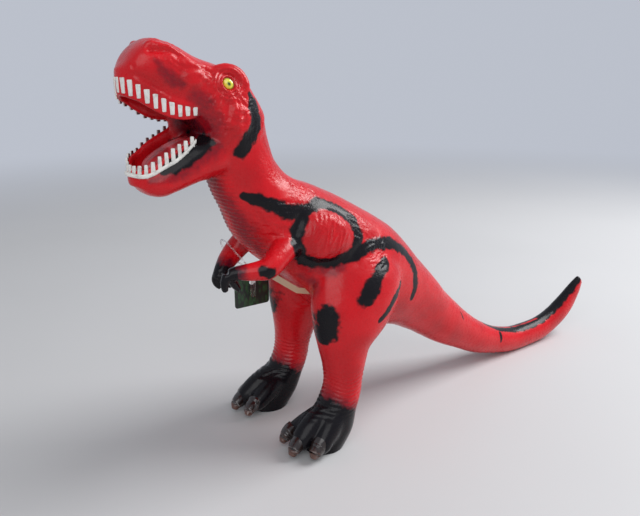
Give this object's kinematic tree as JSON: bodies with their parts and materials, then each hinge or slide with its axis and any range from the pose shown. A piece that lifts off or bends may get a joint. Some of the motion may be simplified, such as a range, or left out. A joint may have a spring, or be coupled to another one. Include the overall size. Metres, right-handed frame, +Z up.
{
  "type": "soft vinyl toy dinosaur",
  "caption": "Standing soft vinyl carnivorous dinosaur toy with open toothed mouth, bending neck, arms and tail, a belly sound unit with a pull tab, and a hang tag.",
  "frame": {"origin": "on the floor below the middle of the figure's bounding box", "axes": "+X towards the tip of the tail (the nose points to -X), +Y to the figure's right side, +Z up"},
  "size_m": [0.4493, 0.1094, 0.271],
  "materials": {
    "red_vinyl": "soft glossy red PVC with black painted markings",
    "stuffing": "white polyester and cotton filling",
    "case_plastic": "moulded white",
    "black_plastic": "black resin blob",
    "circuit_green": "green solder mask",
    "steel": "plated",
    "magnet": "dark ferrite",
    "paper_cone": "black paper",
    "red_wire": "red insulation",
    "black_wire": "black insulation",
    "white_plastic": "white",
    "clear_film": "pale brown film",
    "printed_card": null
  },
  "bodies": {
    "body": {"torso_skin": "red_vinyl", "belly_patch": "red_vinyl", "left_leg_skin": "red_vinyl", "right_leg_skin": "red_vinyl", "torso_stuffing": "stuffing", "left_leg_stuffing": "stuffing", "right_leg_stuffing": "stuffing", "sound_case_base": "case_plastic", "sound_case_lid": "case_plastic", "battery_door": "case_plastic", "sound_chip": "black_plastic", "circuit_board": "circuit_green", "case_screw_1": "steel", "case_screw_2": "steel", "case_screw_3": "steel", "door_screw": "steel", "button_cell_1": "steel", "button_cell_2": "steel", "button_cell_3": "steel", "battery_contact_negative": "steel", "battery_contact_positive": "steel", "speaker_frame": "steel", "button_spring": "steel", "speaker_magnet": "magnet", "speaker_cone": "paper_cone", "speaker_lead_1": "red_wire", "speaker_lead_2": "black_wire"},
    "head": {"head_skin": "red_vinyl", "head_stuffing": "stuffing"},
    "jaw": {"lower_jaw": "red_vinyl"},
    "left_arm_body": {"left_arm": "red_vinyl"},
    "right_arm_body": {"right_arm": "red_vinyl", "tag_loop": "white_plastic"},
    "tag": {"hang_tag": "printed_card"},
    "tail": {"tail_skin": "red_vinyl", "tail_stuffing": "stuffing"},
    "tail_end": {"tail_tip": "red_vinyl"},
    "pull_tab": {"battery_pull_tab": "clear_film"},
    "button": {"press_button": "white_plastic"}
  },
  "joints": [
    {"name": "neck_bend", "type": "hinge", "parent": "body", "child": "head", "pos_m": [-0.144, 0, 0.1899], "axis": [0, 1, 0], "range_deg": [-12, 12], "stiffness_Nm_per_rad": 4},
    {"name": "jaw_squeeze", "type": "hinge", "parent": "head", "child": "jaw", "pos_m": [-0.1701, 0, 0.216], "axis": [0, 1, 0], "range_deg": [0, 5], "stiffness_Nm_per_rad": 1},
    {"name": "left_arm_bend", "type": "hinge", "parent": "body", "child": "left_arm_body", "pos_m": [-0.126, -0.0252, 0.1431], "axis": [0, 1, 0], "range_deg": [-5, 15], "stiffness_Nm_per_rad": 0.3},
    {"name": "right_arm_bend", "type": "hinge", "parent": "body", "child": "right_arm_body", "pos_m": [-0.126, 0.0252, 0.1431], "axis": [0, 1, 0], "range_deg": [-5, 15], "stiffness_Nm_per_rad": 0.3},
    {"name": "tag_swing", "type": "hinge", "parent": "right_arm_body", "child": "tag", "pos_m": [-0.13185, 0.01845, 0.11065], "axis": [0, 1, 0], "range_deg": [-15, 15]},
    {"name": "tail_bend", "type": "hinge", "parent": "body", "child": "tail", "pos_m": [0.00585, 0, 0.0729], "axis": [0, 0, 1], "range_deg": [-15, 15], "stiffness_Nm_per_rad": 2},
    {"name": "tail_tip_bend", "type": "hinge", "parent": "tail", "child": "tail_end", "pos_m": [0.1224, 0, 0.01125], "axis": [0, 0, 1], "range_deg": [-15, 15], "stiffness_Nm_per_rad": 0.6},
    {"name": "tab_pull", "type": "slide", "parent": "body", "child": "pull_tab", "axis": [-0.9668, 0, 0.2554], "range_m": [0, 0.03]},
    {"name": "button_press", "type": "slide", "parent": "body", "child": "button", "axis": [0, 1, 0], "range_m": [0, 0.002], "stiffness_N_per_m": 150, "deforming": ["button_spring"]}
  ]
}
